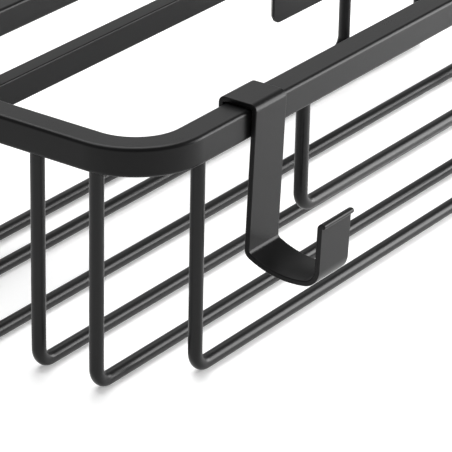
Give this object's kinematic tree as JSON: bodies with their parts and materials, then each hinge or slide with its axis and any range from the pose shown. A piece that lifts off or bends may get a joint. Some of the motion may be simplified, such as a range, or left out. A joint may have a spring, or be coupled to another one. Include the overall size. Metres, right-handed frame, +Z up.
{
  "type": "shower caddy",
  "caption": "Rectangular black wire basket with a square-tube rim, front guard wire, clip-on strip hooks that slide on the rim, and adhesive wall plates it lifts off.",
  "frame": {"origin": "centre of the bounding box at the underside of the bottom wires", "axes": "+X along the basket to the viewer's right, +Y from the hooks back to the wall, +Z up"},
  "size_m": [0.33, 0.1594, 0.0924],
  "materials": {
    "coated_steel": "satin black powder coat on steel tube, bar and wire",
    "hook_strip": "satin black powder coat on flat steel strip",
    "plate_sheet": "satin black powder coat on steel sheet",
    "pad_foam": "matt white adhesive foam"
  },
  "bodies": {
    "basket": {"rim": "coated_steel", "front_wire": "coated_steel", "back_wire": "coated_steel", "front_guard_wire": "coated_steel", "rear_bar": "coated_steel", "basket_wire_1": "coated_steel", "basket_wire_2": "coated_steel", "basket_wire_3": "coated_steel", "basket_wire_4": "coated_steel"},
    "left_hook": {"hook_left": "hook_strip"},
    "right_hook": {"hook_right": "hook_strip"},
    "wall_mounts": {"wall_plate_left": "plate_sheet", "adhesive_pad_left": "pad_foam", "wall_plate_right": "plate_sheet", "adhesive_pad_right": "pad_foam"}
  },
  "joints": [
    {"name": "left_hook_slide", "type": "slide", "parent": "basket", "child": "left_hook", "axis": [1, 0, 0], "range_m": [-0.025, 0.093]},
    {"name": "right_hook_slide", "type": "slide", "parent": "basket", "child": "right_hook", "axis": [1, 0, 0], "range_m": [-0.093, 0.025]},
    {"name": "basket_lift_off", "type": "slide", "parent": "basket", "child": "wall_mounts", "axis": [0, 0, -1], "range_m": [0, 0.016]}
  ]
}
